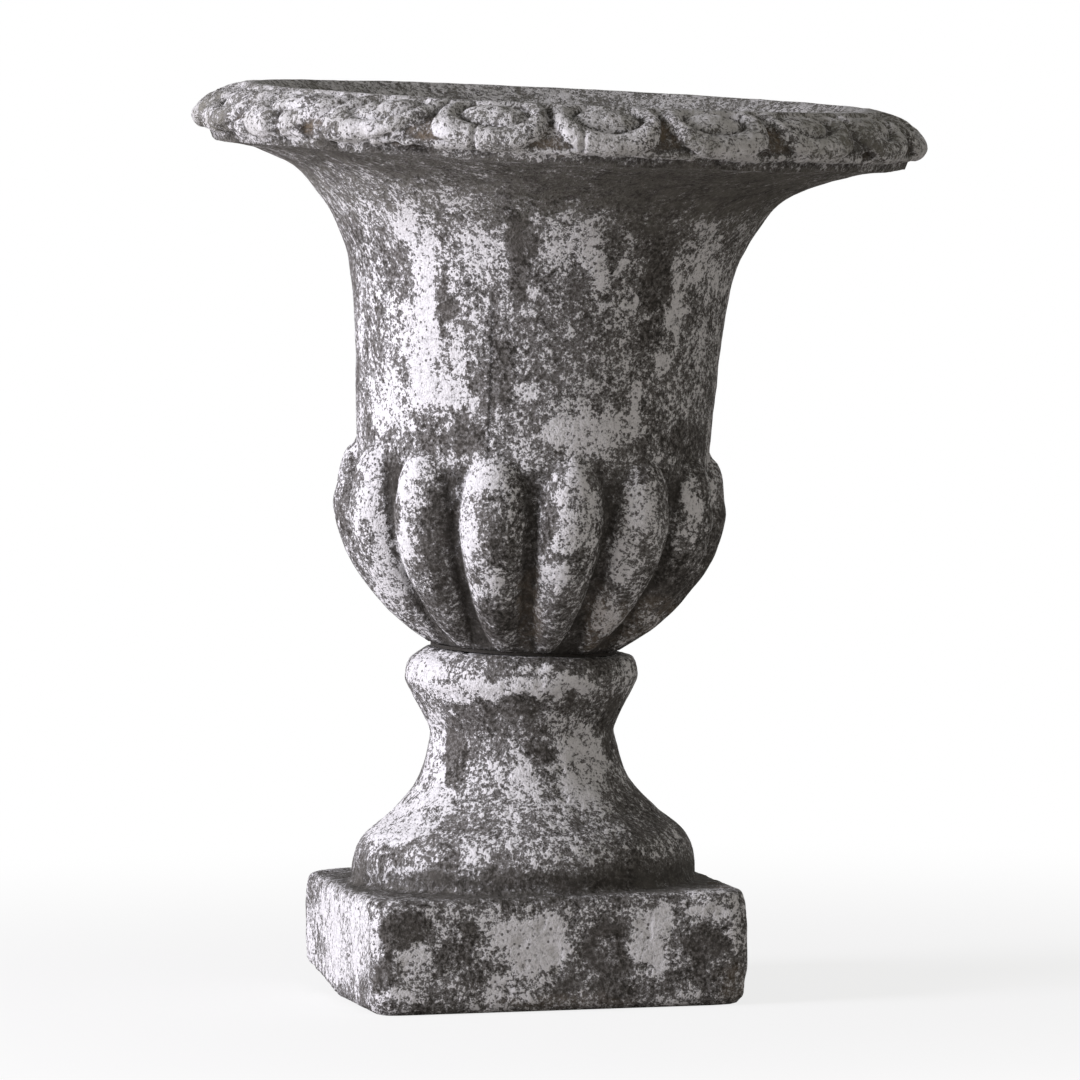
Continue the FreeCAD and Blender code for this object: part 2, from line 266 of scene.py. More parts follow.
BOWL_PATCHES = {
    "broad white panel on the bell": (424, 345, 22, 74, 0.95),
    "head of the panel": (402, 228, 16, 22, 0.80),
    "drip from the head": (424, 262, 12, 30, 0.60),
    "dark shadow right of the panel": (447, 300, 6, 50, -0.50),
    "white streak beside the panel": (458, 330, 10, 66, 0.45),
    "speckled left edge of the bell": (376, 330, 22, 90, 0.10),
    "white low left edge": (382, 400, 22, 34, 0.45),
    "foot of the panel": (440, 396, 42, 22, 0.55),
    "bare patch below the panel": (455, 441, 34, 18, -0.55),
    "round drip over the first lobes": (408, 430, 6, 6, 0.90),
    "flakes left of the seam": (484, 250, 34, 26, 0.32),
    "mottle left of the seam": (480, 330, 12, 60, 0.15),
    "dark hollow at the top": (520, 243, 15, 30, -0.80),
    "dark hollow lower down": (516, 290, 14, 22, -0.60),
    "dark band right of the seam": (506, 360, 12, 60, -0.25),
    "upper drip": (525, 253, 5, 5, 1.10),
    "drip beside the hollow": (533, 293, 6, 6, 1.20),
    "curled flake": (525, 314, 11, 5, 1.10),
    "speckled column": (572, 244, 34, 44, 0.28),
    "right edge of the column": (600, 262, 10, 40, 0.40),
    "round flake, upper right": (619, 264, 6, 6, 1.10),
    "broken flake, upper right": (606, 308, 13, 9, 0.90),
    "flake beside it": (630, 307, 7, 10, 0.80),
    "bare middle of the bell": (580, 345, 46, 44, -0.10),
    "torn flake in the middle": (532, 392, 14, 9, 0.80),
    "drip at the right": (634, 408, 6, 26, 0.60),
    "white flakes over the lobes": (592, 432, 58, 22, 0.62),
    "very dark upper right": (652, 262, 24, 58, -0.50),
    "dark strip at the right": (645, 330, 10, 60, -0.35),
    "round drip at the right": (651, 316, 5, 7, 1.00),
    "fork of the right streak": (662, 362, 14, 10, 0.70),
    "white streak at the right": (678, 305, 9, 62, 0.75),
    "white right edge": (706, 262, 20, 50, 0.45),
    "mottled lower right": (688, 385, 36, 44, 0.10),
    "dark foot of the right edge": (690, 440, 34, 18, -0.40),
    # Painted shade under the rim
    "painted shade under the rim, right": (690, 190, 120, 34, -0.40),
    "painted shade under the rim, middle": (560, 186, 90, 18, -0.20),
    # Thin haze on the flare, with painted light on its lit underside
    "hazy flare at the left, with painted light": (345, 190, 62, 30, 0.24),
    "pale flare, middle left, with painted light": (455, 200, 70, 18, 0.12),
    "lobe 1 crown": (370, 492, 15, 50, 0.95),
    "lobe 1 tail": (388, 565, 18, 60, 0.45),
    "lobe 2 crown": (414, 480, 18, 28, 0.60),
    # Painted shade in the groove between lobes
    "lobe 2 groove, painted shade": (392, 520, 6, 70, -0.30),
    "lobe 2 left flank": (404, 540, 9, 74, 0.70),
    "lobe 2 bare flank": (436, 545, 16, 66, -0.55),
    "lobe 3 head": (488, 478, 24, 20, 0.62),
    "lobe 3 left flank": (468, 520, 11, 54, 0.60),
    "lobe 3 bare middle": (508, 545, 15, 34, -0.25),
    "lobe 3 low flake": (492, 586, 20, 18, 0.62),
    "lobe 3 bare tail": (495, 624, 26, 18, -0.45),
    "lobe 4 crown": (576, 496, 22, 42, 0.60),
    "lobe 4 middle": (570, 542, 22, 18, 0.50),
    "lobe 4 shaded left flank": (546, 520, 9, 50, -0.40),
    "lobe 4 low flake": (556, 574, 18, 16, 0.80),
    "lobe 4 bare tail": (556, 618, 26, 18, -0.10),
    "lobe 5 crown": (645, 500, 18, 34, 0.80),
    "lobe 5 middle": (624, 556, 20, 32, 0.60),
    "lobe 5 tail": (602, 612, 24, 26, 0.45),
    "lobe 6 crown": (692, 508, 11, 34, 0.75),
    "lobe 6 bare tail": (676, 590, 30, 42, -0.50),
    "lobe 7, all bare": (712, 560, 20, 70, -0.35),
    "rim, broken white at the left": (270, 138, 40, 16, 0.30),
    "rim, white stretch": (365, 132, 44, 18, 0.30),
    "rim, bare cleft": (330, 140, 12, 22, -0.70),
    "rim, white collar at the middle": (600, 140, 34, 16, 0.35),
    "rim, white crest of the fourth egg": (712, 108, 26, 10, 0.60),
    "rim, pale collar tip": (735, 150, 22, 12, 0.45),
    "rim, bare right end": (880, 135, 46, 30, -0.30),
    "rim, bare left end": (212, 110, 20, 26, -0.30),
}

FOOT_PATCHES = {
    "torus, white lower half": (518, 688, 106, 10, 0.80),
    "torus, speckled upper half": (450, 664, 46, 14, 0.30),
    "torus, flakes at the right": (560, 672, 50, 8, 0.40),
    "torus, white left end": (425, 668, 22, 20, 0.60),
    "torus, dark upper band": (500, 660, 60, 9, -0.25),
    "torus, dark upper right": (585, 668, 34, 14, -0.50),
    # Painted shade under the torus
    "painted shade under the torus": (520, 706, 90, 10, -0.45),
    "neck, pale left edge": (436, 745, 16, 46, 0.40),
    "neck, bare left": (458, 752, 14, 50, -0.40),
    "neck, bare middle": (500, 722, 52, 16, -0.40),
    "neck, dark pits": (540, 748, 20, 13, -0.60),
    "neck, pale drip": (512, 770, 20, 22, 0.30),
    "neck, white patch": (580, 768, 32, 44, 0.55),
    "neck, ringed flake": (527, 775, 16, 14, 0.40),
    "neck, dark right edge": (618, 730, 22, 40, -0.55),
    "skirt, white left": (396, 826, 40, 24, 0.70),
    "skirt, pale upper left": (436, 796, 26, 18, 0.50),
    "skirt, bare lower left": (440, 852, 30, 16, -0.30),
    "skirt, speckled middle": (520, 820, 60, 30, 0.06),
    "skirt, speckled front": (520, 852, 80, 12, 0.22),
    "skirt, speckled right": (645, 815, 36, 40, -0.30),
    "base, bare band": (530, 880, 190, 10, -0.35),
    "base, pale left of the band": (392, 876, 34, 10, 0.55),
    "base, dark right of the band": (650, 868, 50, 18, -0.40),
    # Painted shade on the plinth's top
    "plinth top, painted shade": (520, 900, 200, 8, -0.30),
    "front, dark top left": (408, 930, 34, 17, -0.75),
    "front, dark left edge": (384, 950, 8, 44, -0.55),
    "front, pale left of the flecks": (412, 956, 18, 11, 0.50),
    "front, dark flecks": (448, 958, 18, 22, -0.45),
    "front, mottled left": (430, 978, 40, 20, 0.15),
    "front, white low left": (400, 996, 24, 9, 0.60),
    "front, dark spike": (468, 940, 12, 26, -0.80),
    "front, dark below the spike": (480, 975, 16, 18, -0.40),
    "front, white middle": (530, 944, 44, 34, 0.95),
    "front, pale low middle": (520, 985, 44, 14, 0.35),
    "front, dark low middle": (580, 990, 60, 12, -0.45),
    "front, dark oval": (606, 948, 22, 36, -0.80),
    "front, flakes in the oval": (609, 950, 10, 18, 0.62),
    "front, white right of the oval": (652, 936, 22, 32, 0.85),
    "front, round flake low right": (662, 968, 11, 14, 0.80),
    "front, white top right": (710, 910, 34, 9, 0.60),
    "front, dark right end": (706, 944, 26, 20, -0.70),
    "front, dark lower right": (700, 975, 34, 18, -0.45),
    "front, pale right edge": (738, 938, 10, 20, 0.35),
    "front, pale low right": (650, 1000, 40, 7, 0.35),
    "left face, white": (340, 940, 42, 60, 0.75),
    "left face, dark streak": (322, 930, 6, 40, -0.60),
    "left face, bare low edge": (330, 985, 24, 14, -0.30),
}

# Stains, placed the same way: ochre where positive and olive where negative
BOWL_STAINS = {
    "ochre hollow, third": (662, 135, 34, 22, 0.75),
    "ochre hollow, fourth": (780, 135, 30, 20, 0.55),
    "ochre by the middle crack": (548, 140, 30, 18, 0.60),
    "ochre left of the cleft": (310, 118, 14, 24, 0.60),
    "ochre left fold": (425, 128, 26, 16, 0.55),
    "ochre at the left end": (228, 110, 26, 14, 0.35),
    "olive under the fourth egg": (690, 145, 40, 14, -0.40),
    "olive right end": (850, 125, 60, 30, -0.45),
    "olive left end": (215, 110, 26, 26, -0.45),
    "brown between the tails": (530, 610, 16, 44, 0.50),
    "brown between the right tails": (598, 620, 20, 36, 0.50),
    "brown foot of the right lobes": (650, 620, 40, 30, 0.35),
}
FOOT_STAINS = {
    "rusty smear on the plinth": (712, 883, 22, 9, 0.85),
    "brown foot of the base": (560, 884, 80, 8, 0.25),
    "brown low edge": (560, 1002, 100, 8, 0.25),
    "brown right corner": (735, 985, 16, 22, 0.30),
}


# Values painted on the vertices: limewash, darkening that is mostly painted shade, and stain
PAINTED = ("cover", "shade_and_dirt", "stain")


def painted(patches, across, down, wander):
    """The sum of the patches at a pixel, their outlines made uneven by a small wander."""
    total = 0.0
    for middle_x, middle_y, half_width, half_height, strength in patches:
        x = (across + wander[0] - middle_x) / half_width
        y = (down + wander[1] - middle_y) / half_height
        inside = 1 - x * x - y * y
        if inside > 0:
            total += 0.86 * strength * min(1.0, 1.6 * inside)
    return total


def paint(bm, view, patches, stains, wash_at, shade_and_dirt_at, stain_at):
    """Writes how much limewash, darkening (mostly painted shade) and stain each vertex has, for the
    finish to read.
    """
    cover, shade_and_dirt, stain = [bm.verts.layers.float[name] for name in PAINTED]
    patches, stains = list(patches.values()), list(stains.values())
    for vert in bm.verts:
        point = vert.co
        across, down = view.pixel(point)
        wander = (11 * lumps(point, 0.015), 11 * lumps(point + UP, 0.015))
        seen = view.facing(point, vert.normal)
        unseen = 1 - 0.55 * seen
        drift = 0.34 * unseen * lumps(point, 0.055, 2)
        vert[cover] = wash_at(vert) + drift + seen * painted(patches, across, down, wander)
        vert[shade_and_dirt] = shade_and_dirt_at(vert)
        vert[stain] = stain_at(vert) + seen * painted(stains, across, down, wander)


# Bowl


def lobe_reach(track, turn, height, body, count, start):
    """How far from the axis a lobe's surface lies at a turn and height, or 0 where none is."""
    reach, girth, _ = on_track(track, height)
    slope = (reach - on_track(track, height - 0.004).x) / 0.004
    rise = max(0.0, height - track[-1].z) / LOBE_HEAD
    if rise >= 1:
        return 0.0
    shrink = math.sqrt(1 - rise * rise)
    off = abs(reach * math.sin(nearest_turn(turn, start, count))) / shrink
    if off >= girth:
        return 0.0
    dip = (girth - math.sqrt(girth * girth - off * off)) * math.sqrt(1 + slope * slope)
    return body + (reach - dip - body) * shrink


# The rim's carving: half width, half height and distance down from the lip of each oval, the bead's
# half height and distance down, and how far each form stands out of the moulding
EGG = (0.0205, 0.0135, 0.0145)
POCKET = (0.0232, 0.0162, 0.0145)
COLLAR = (0.0355, 0.0465, 0.0120)
COLLAR_INNER, COLLAR_OUTER = 0.020, 0.034
BEAD_HALF, BEAD_DOWN = 0.0060, 0.0550
FIELD_LEVEL, POCKET_LEVEL, COLLAR_LEVEL = -0.0070, -0.0064, -0.0068
BEAD_RISE, EGG_RISE, COLLAR_RISE = 0.0030, 0.0066, 0.0070


def in_oval(oval, round_rim, down):
    """0 at the oval's middle and 1 on its outline."""
    half_width, half_height, middle = oval
    return math.hypot(round_rim / half_width, (down - middle) / half_height)


def egg_and_dart(round_rim, down):
    """Relief of the moulding: distance round from the nearest egg, and down from the lip."""
    egg, pocket, collar = (in_oval(oval, round_rim, down) for oval in (EGG, POCKET, COLLAR))
    if egg < 1:
        return POCKET_LEVEL + EGG_RISE * (1 - egg * egg) ** 0.5
    if pocket < 1:
        return POCKET_LEVEL
    bead = max(0.0, 1 - ((down - BEAD_DOWN) / BEAD_HALF) ** 2)
    ground = FIELD_LEVEL + BEAD_RISE * bead ** 0.5
    if collar >= 1:
        return ground
    inside, outside = (pocket - 1) * COLLAR_INNER, (1 - collar) * COLLAR_OUTER
    across = inside / (inside + outside)
    return max(ground, COLLAR_LEVEL + COLLAR_RISE * math.sin(math.pi * across) ** 0.40)


# Wear of the rim, placed one by one: degrees round from the front, distance down from the lip, half
# width, half height and depth
RIM_WEAR = {
    "left cleft": (-51, 0.040, 0.0065, 0.016, 0.0060),
    "left cleft's neighbour": (-44, 0.046, 0.0060, 0.012, 0.0050),
    "left shoulder worn low": (-78, 0.012, 0.040, 0.016, 0.0030),
    "crack left of the middle": (-13.6, 0.042, 0.0012, 0.016, 0.0030),
    "crack in the middle": (3.3, 0.044, 0.0012, 0.013, 0.0030),
    "notch right of the middle": (34, 0.052, 0.004, 0.006, 0.0025),
    "notch at the right": (58, 0.050, 0.005, 0.008, 0.0030),
}
# The turn round the bowl's own axis that faces the camera
FRONT = math.radians(-90.23)


def rim_relief(turn, down, place):
    """How far the moulding stands out of its smooth outline, worn and chipped."""
    sizes = bpy.context.scene.urn_sizes
    radius = 0.225
    wave = 0.0035 * lumps(place, 0.045, 2)
    off = radius * nearest_turn(turn, sizes.egg_turn, sizes.egg_count) + wave
    from_front = (math.degrees(turn - FRONT) + 180) % 360 - 180
    left = ease(12, 30, -from_front) * ease(-88, -72, from_front)
    off += 0.6 * left * (down - 0.015)
    whole = 0.90 + 0.25 * lumps(place + UP, 0.060, 2) - 0.22 * left
    relief = whole * egg_and_dart(off, down + 0.5 * wave)
    relief += (0.0005 + 0.0005 * left) * lumps(place, 0.012, 2)
    relief -= 0.0014 * ease(0.1, 0.5, lumps(place - UP, 0.013, 2)) * (0.5 + 0.5 * left)
    ragged = ease(0.047, 0.055, down) * (0.25 + 0.55 * left)
    relief -= ragged * (0.0006 + 0.0018 * ease(0.0, 0.45, lumps(place, 0.014, 2)))
    for degrees, middle, half_width, half_height, depth in RIM_WEAR.values():
        x = math.radians(from_front - degrees) * radius / half_width
        y = (down - middle) / half_height
        relief -= depth * max(0.0, 1 - x * x - y * y) ** 0.5
    return (relief - 0.0003) * ease(0.0, 0.004, down)


def bowl_outline(drain):
    """The bowl's closed section as (point, zone, distance along the zone) rows."""
    runs = [
        ("bed", [Vector((radius, 0, BOWL_OUTSIDE[0][1])) for radius in (drain, 0.035)]),
        ("outside", smooth_run(BOWL_OUTSIDE, 0.0034)),
        ("moulding", smooth_run(BOWL_MOULDING, 0.0019)),
        ("lip", smooth_run(BOWL_LIP, 0.0040)),
        ("hollow", smooth_run(BOWL_HOLLOW, 0.018)),
        ("floor", [Vector((radius, 0, BOWL_HOLLOW[-1][1])) for radius in (0.050, 0.035, drain)]),
        ("drain", [Vector((drain, 0, height)) for height in (0.034, 0.018, 0.002)])]
    rows = []
    for zone, (_, points) in enumerate(runs):
        along = 0.0
        for point, following in zip(points, points[1:]):
            rows.append((point, zone, along))
            along += (following - point).length
    return rows, [name for name, _ in runs], runs


BOWL_NOTES = ("zone", "along", "upright", "hollowness")


def bowl_matrix(sizes):
    """From the bowl's own upright frame to its leaning place on the foot."""
    heading = sizes.bowl_heading
    towards = Vector((math.cos(heading), math.sin(heading), 0))
    place = Matrix.Translation(towards * sizes.bowl_shift + UP * sizes.foot_top)
    return (place @ Matrix.Rotation(sizes.bowl_lean, 4, UP.cross(towards))
            @ Matrix.Rotation(heading, 4, "Z"))


# The seam that the two halves of the mould left: its turn from the front, and its ends' heights
SEAM_TURN = math.radians(-14.6)
SEAM_LOW, SEAM_HIGH = 0.338, 0.450


def mould_seam(sizes):
    """The seam's plane, as its direction across and its offset, and the seam's ends."""
    matrix = bowl_matrix(sizes)
    turn = FRONT + SEAM_TURN
    axis = matrix.to_3x3() @ UP
    across = axis.cross(matrix.to_3x3() @ Vector((math.cos(turn), math.sin(turn), 0)))
    return across, across.dot(matrix.translation), SEAM_LOW, SEAM_HIGH


def sculpt_bowl(bm, zones, lengths, sizes):
    """Moves the spun bowl's vertices into lobes, carving, the rim's offset and wear."""
    zone_layer = bm.verts.layers.float["zone"]
    along_layer = bm.verts.layers.float["along"]
    side_layer = bm.verts.layers.float_vector["side"]
    hollow_layer = bm.verts.layers.float["hollowness"]
    upright_layer = bm.verts.layers.float["upright"]
    outside, moulding = zones.index("outside"), zones.index("moulding")
    hollow, lip = zones.index("hollow"), zones.index("lip")
    start = sizes.lobe_turn * math.tau / sizes.lobe_count
    crest_track = smooth_run(LOBE_CREST, 0.004)
    for vert in bm.verts:
        zone = round(vert[zone_layer])
        x, y, height = vert.co
        radius = math.hypot(x, y)
        turn = math.atan2(y, x)
        outward = Vector((x, y, 0)) / radius
        side = vert[side_layer]
        normal = outward * side.x + UP * side.z
        place = vert.co.copy()
        vert[upright_layer] = height
        if zone == outside:
            reach = lobe_reach(crest_track, turn, height, radius, sizes.lobe_count, start)
            reach += 0.0009 * lumps(outward * 0.12, 0.05, 2)
            proud = 0.0
            if reach > 0.02:
                gap = reach - radius
                proud = 0.5 * (gap + math.sqrt(gap * gap + LOBE_BLEND ** 2))
                proud -= 0.0005 * ease(-0.004, 0.0, -abs(gap))
            crest = on_track(crest_track, height).x - radius
            inside_belly = 1 - ease(0.108, 0.125, height)
            vert[hollow_layer] = inside_belly * (1 - ease(0.02, 0.40, proud / max(crest, 0.004)))
            vert.co += outward * proud
            vert.co += normal * (0.0006 * lumps(place, 0.020) + 0.0009 * lumps(place, 0.075, 2))
        elif zone == moulding:
            down = lengths[moulding] - vert[along_layer]
            relief = rim_relief(turn, down, place)
            vert[hollow_layer] = 0.85 - 0.85 * ease(-0.0078, -0.0036, relief)
            vert.co += normal * relief
        elif zone in (hollow, lip):
            vert.co -= normal * (0.0004 + 0.0004 * lumps(place, 0.030))
            vert[hollow_layer] = 0.5 - 0.4 * ease(0.300, 0.345, height)
        vert.co.x += sizes.rim_offset * ease(RIM_BEGINS, RIM_ENDS, height)


def bowl_mesh(sizes, view):
    """The bowl in one casting, sculpted, leaning and painted."""
    bm = bmesh.new()
    rows, zones, runs = bowl_outline(sizes.drain_radius)
    lengths = [
        sum((b - a).length for a, b in zip(points, points[1:])) for _, points in runs]
    for name in PAINTED + BOWL_NOTES:
        bm.verts.layers.float.new(name)
    side_layer = bm.verts.layers.float_vector.new("side")
    zone_layer = bm.verts.layers.float["zone"]
    along_layer = bm.verts.layers.float["along"]
    points = [point for point, _, _ in rows]
    verts = [bm.verts.new(point) for point in points]
    edges = [bm.edges.new(pair) for pair in zip(verts, verts[1:] + verts[:1])]
    for number, (vert, (_, zone, along)) in enumerate(zip(verts, rows)):
        forward = points[(number + 1) % len(points)] - points[number - 1]
        vert[zone_layer] = zone
        vert[along_layer] = along
        vert[side_layer] = Vector((forward.z, 0, -forward.x)).normalized()
    bmesh.ops.spin(
        bm, geom=verts + edges, cent=(0, 0, 0), axis=UP, angle=math.tau,
        steps=sizes.columns, use_merge=True)
    moulding = zones.index("moulding")
    rings = [
        edge for edge in bm.edges
        if all(round(vert[zone_layer]) == moulding for vert in edge.verts)
        and abs(edge.verts[0].co.z - edge.verts[1].co.z) < 1e-6]
    bmesh.ops.subdivide_edges(bm, edges=rings, cuts=1, use_grid_fill=True)
    sculpt_bowl(bm, zones, lengths, sizes)
    bmesh.ops.transform(bm, matrix=bowl_matrix(sizes), verts=bm.verts)
    bmesh.ops.recalc_face_normals(bm, faces=bm.faces)
    bm.normal_update()
    hollow_layer = bm.verts.layers.float["hollowness"]
    upright_layer = bm.verts.layers.float["upright"]
    outside = zones.index("outside")
    lip = zones.index("lip")

    def wash(vert):
        """Limewash on the bowl, with painted shade: less deep in the hollow, between the lobes, in
        the rim's pockets and under the rim.
        """
        zone = round(vert[zone_layer])
        height = vert[upright_layer]
        # Painted shade: the hollow gets less limewash the deeper it lies
        if zone >= lip:
            return 0.30 + 0.40 * ease(0.300, 0.345, height)
        # Painted shade: less limewash between the lobes, in the rim's pockets and under the rim
        groove_shade = 0.40 * vert[hollow_layer]
        if zone == outside:
            under_rim_shade = 0.26 * ease(0.262, 0.298, height)
            streak = 0.16 * lumps(Vector((vert.co.x, vert.co.y, vert.co.z / 6)), 0.012, 2)
            return 0.42 - groove_shade - under_rim_shade + streak
        return 0.76 - 1.5 * groove_shade

    def shade_and_dirt(vert):
        """Painted shade on the bowl: between the lobes, in the rim's pockets and deep in the
        hollow.
        """
        return vert[hollow_layer]

    def stain(vert):
        """An olive film on the rim, below it and inside it, and ochre in the rim's clefts."""
        zone, height = round(vert[zone_layer]), vert[upright_layer]
        if zone == outside:
            return -0.40 * ease(0.250, 0.290, height)
        film = -0.55 * ease(0.300, 0.315, height)
        if zone < lip:
            film += 1.0 * vert[hollow_layer]
        return film

    paint(bm, view, BOWL_PATCHES, BOWL_STAINS, wash, shade_and_dirt, stain)
    for name in BOWL_NOTES:
        bm.verts.layers.float.remove(bm.verts.layers.float[name])
    bm.verts.layers.float_vector.remove(bm.verts.layers.float_vector["side"])
    return finish_mesh("urn_bowl_carved", bm)


# Foot


def scratch_object(name, bm):
    """A helper object for a boolean, which is deleted once it is used."""
    bmesh.ops.recalc_face_normals(bm, faces=bm.faces)
    mesh = bpy.data.meshes.new(name)
    bm.to_mesh(mesh)
    bm.free()
    return new_object(name, mesh)


def plinth_block(sizes):
    """The square plinth with its corners and edges rounded."""
    bm = bmesh.new()
    bmesh.ops.create_cube(bm, size=1.0)
    side, tall = sizes.plinth_side, sizes.plinth_height
    bmesh.ops.scale(bm, vec=(side, side, tall), verts=bm.verts)
    bmesh.ops.translate(bm, vec=UP * tall / 2, verts=bm.verts)
    upright = [e for e in bm.edges if abs(e.verts[0].co.z - e.verts[1].co.z) > tall / 2]
    bmesh.ops.bevel(
        bm, geom=upright, offset=sizes.plinth_corner, affect="EDGES", segments=8, profile=0.5,
        material=-1)
    level = [
        e for e in bm.edges
        if abs(e.verts[0].co.z - e.verts[1].co.z) < 1e-6 and len(e.link_faces) == 2
        and abs(e.link_faces[0].normal.z - e.link_faces[1].normal.z) > 0.5]
    bmesh.ops.bevel(
        bm, geom=level, offset=sizes.plinth_edge, affect="EDGES", segments=5, profile=0.5,
        material=-1)
    return scratch_object("plinth_block", bm)


def turned_object(name, outline, steps):
    """A helper object: an outline spun round the foot's axis and closed at its ends."""
    bm = bmesh.new()
    verts = [bm.verts.new(point) for point in outline]
    edges = [bm.edges.new(pair) for pair in zip(verts, verts[1:])]
    bmesh.ops.spin(
        bm, geom=verts + edges, cent=(0, 0, 0), axis=UP, angle=math.tau, steps=steps,
        use_merge=True)
    open_edges = [edge for edge in bm.edges if edge.is_boundary]
    bmesh.ops.holes_fill(bm, edges=open_edges, sides=0)
    return scratch_object(name, bm)


def turned_foot():
    """The foot above the plinth as a turned solid."""
    outline = (
        smooth_run(FOOT_SKIRT, 0.003)[:-1] + smooth_run(FOOT_SCOTIA, 0.003)[:-1]
        + smooth_run(FOOT_TORUS, 0.002))
    return turned_object("turned_foot", outline, 180)


def bore_cutter(sizes):
    """The drain bore and the recess below it, as one turned cutter."""
    outline = [
        (sizes.recess_radius, 0, -0.01), (sizes.recess_radius, 0, sizes.recess_depth),
        (sizes.drain_radius, 0, sizes.recess_depth), (sizes.drain_radius, 0, 0.26)]
    return turned_object("bore_cutter", outline, 64)


def top_cutter(sizes):
    """A slab over the foot, whose underside is the plane of the bed."""
    bm = bmesh.new()
    bmesh.ops.create_cube(bm, size=0.3)
    bmesh.ops.translate(bm, vec=UP * 0.15, verts=bm.verts)
    bmesh.ops.transform(bm, matrix=bowl_matrix(sizes), verts=bm.verts)
    return scratch_object("top_cutter", bm)


def add_boolean(thing, operation, other):
    """A boolean modifier on thing with another object."""
    step = thing.modifiers.new(other.name, "BOOLEAN")
    step.operation = operation
    step.solver = "EXACT"
    step.object = other


# Wear of the plinth and foot, placed one by one: the point that is worn, its radius and its depth
FOOT_WEAR = {
    "near left bottom corner": ((-0.118, -0.118, 0.0), 0.020, 0.003),
    "near right bottom corner": ((0.118, -0.118, 0.0), 0.026, 0.006),
    "near right top corner": ((0.118, -0.118, 0.072), 0.026, 0.004),
    "near left top corner": ((-0.118, -0.118, 0.072), 0.022, 0.003),
    "far right bottom corner": ((0.118, 0.118, 0.0), 0.030, 0.006),
    "far right top corner": ((0.118, 0.118, 0.072), 0.024, 0.004),
    "far left top corner": ((-0.118, 0.118, 0.072), 0.024, 0.003),
}

# The knocked corner at the far left: a point on the break, and the way that the break faces
BREAK_POINT = Vector((-0.120, -0.020, 0.0))
BREAK_FACES = Vector((-0.51, 0.11, -0.85)).normalized()


def sculpt_foot(bm, sizes):
    """Wears the foot: soft lumps, small pits and knocked corners. Its underside stays flat."""
    bm.normal_update()
    centre = UP * sizes.plinth_height / 2
    middle = {vert: vert.co.copy() for vert in bm.verts}
    normals = {vert: vert.normal.copy() for vert in bm.verts}
    for vert, place in middle.items():
        resting = place.z < 0.0012
        radius = math.hypot(place.x, place.y)
        in_bore = radius < sizes.recess_radius + 0.002 and place.z < sizes.foot_top - 0.01
        if in_bore:
            continue
        wear = 0.0006 * lumps(place, 0.022) + 0.0009 * lumps(place, 0.070, 2) - 0.0004
        wear -= 0.0012 * ease(0.30, 0.60, lumps(place + UP, 0.008, 2))
        move = normals[vert] * wear
        for worn, reach, depth in FOOT_WEAR.values():
            near = 1 - (place - Vector(worn)).length / reach
            if near > 0:
                away = (centre - place).normalized()
                uneven = 1 + 0.3 * lumps(place, 0.012)
                move += away * depth * near * near * (3 - 2 * near) * uneven
        if resting:
            move.z = 0.0
        vert.co = place + move
        vert.co.z = max(vert.co.z, 0.0)
        past = (vert.co - BREAK_POINT).dot(BREAK_FACES) - 0.0010 * lumps(place, 0.014)
        if past > 0:
            vert.co -= BREAK_FACES * past


def foot_mesh(sizes, view):
    """Foot and plinth in one casting, grown together, worn and painted."""
    block = plinth_block(sizes)
    helpers = [turned_foot(), bore_cutter(sizes), top_cutter(sizes)]
    for operation, helper in zip(("UNION", "DIFFERENCE", "DIFFERENCE"), helpers):
        add_boolean(block, operation, helper)
    grown = block.modifiers.new("grown_together", "REMESH")
    grown.mode = "VOXEL"
    grown.voxel_size = sizes.foot_grain
    evaluated = block.evaluated_get(bpy.context.evaluated_depsgraph_get())
    raw = bpy.data.meshes.new_from_object(evaluated)
    bm = bmesh.new()
    bm.from_mesh(raw)
    for name in PAINTED:
        bm.verts.layers.float.new(name)
    for thing in [block] + helpers:
        bpy.data.meshes.remove(thing.data)
    bpy.data.meshes.remove(raw)
    bmesh.ops.smooth_vert(
        bm, verts=[v for v in bm.verts if v.co.z > 0.002], factor=0.5, use_axis_x=True,
        use_axis_y=True, use_axis_z=True)
    sculpt_foot(bm, sizes)
    bm.normal_update()
    top = sizes.plinth_height

    def root(vert):
        """1 in the corner where the foot meets the plinth, 0 away from it."""
        radius = math.hypot(vert.co.x, vert.co.y)
        low = (1 - ease(top + 0.004, top + 0.022, vert.co.z)) * ease(top - 0.006, top, vert.co.z)
        return low * (1 - ease(0.112, 0.150, radius))

    def wash(vert):
        """Limewash on the foot, with painted shade: less in the corner above the plinth and on the
        plinth's top, except near its outer edges.
        """
        # Painted shade: the plinth's top gets less limewash, except near its outer edges
        top_shade = ease(0.6, 0.9, vert.normal.z) * (1 - ease(top - 0.002, top + 0.004, vert.co.z))
        edge = max(abs(vert.co.x), abs(vert.co.y))
        bright_edge = 0.4 * ease(0.110, 0.117, edge)
        return 0.46 - 0.25 * root(vert) - (0.20 - bright_edge) * top_shade

    def shade_and_dirt(vert):
        """Painted shade in the corner where the foot meets the plinth, and darker towards the
        bottom edge.
        """
        bottom = 0.5 - 0.5 * ease(0.002, 0.010, vert.co.z)
        return max(0.7 * root(vert), bottom)

    def stain(vert):
        """A little olive where the foot meets the plinth."""
        return -0.2 * root(vert)

    paint(bm, view, FOOT_PATCHES, FOOT_STAINS, wash, shade_and_dirt, stain)
    return finish_mesh("pedestal_foot_worn", bm)


# Finishes


